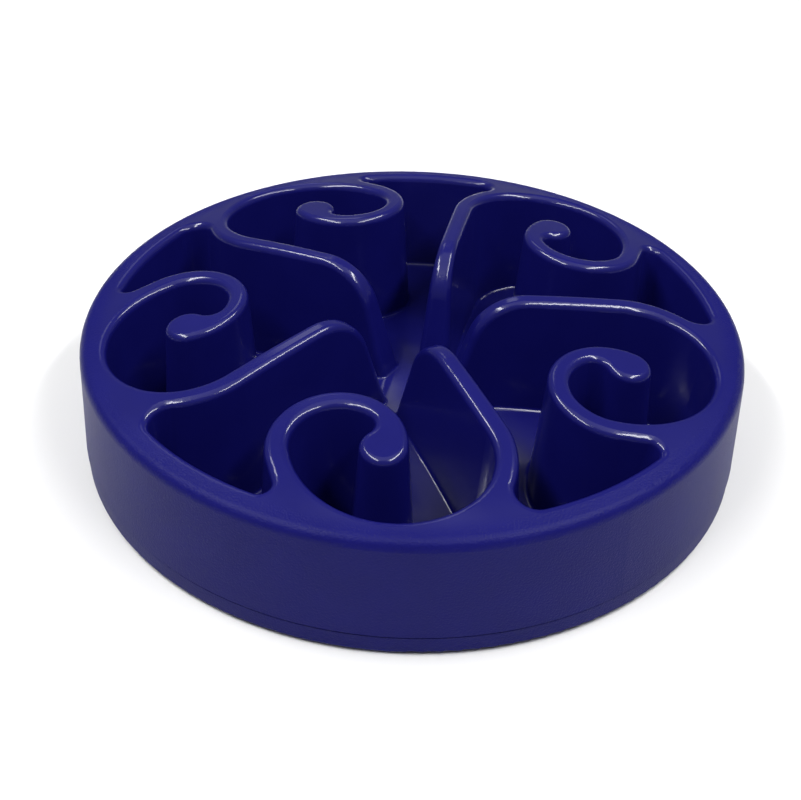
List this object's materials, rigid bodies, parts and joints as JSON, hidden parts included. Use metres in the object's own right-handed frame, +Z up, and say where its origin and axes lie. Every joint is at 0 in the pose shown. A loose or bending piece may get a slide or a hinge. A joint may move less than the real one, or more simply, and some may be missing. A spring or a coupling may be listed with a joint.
{
  "type": "slow feeder bowl",
  "caption": "Round slow feeder pet bowl with curled and straight maze walls over a gently crowned floor, closed underneath by a base cover with non-slip rubber feet.",
  "frame": {"origin": "centre of the footprint, on the plane the feet stand on", "axes": "+Z up along the bowl's axis, -Y towards the front of the picture, +X to its right"},
  "size_m": [0.206, 0.206, 0.0488],
  "materials": {
    "bowl_plastic": "glossy maze and floor, satin rim and skirt",
    "cover_plastic": "satin",
    "foot_rubber": "matt"
  },
  "bodies": {
    "root": {"maze_bowl": "bowl_plastic", "base_cover": "cover_plastic", "rubber_foot_1": "foot_rubber", "rubber_foot_2": "foot_rubber", "rubber_foot_3": "foot_rubber", "rubber_foot_4": "foot_rubber", "rubber_foot_5": "foot_rubber"}
  },
  "joints": []
}
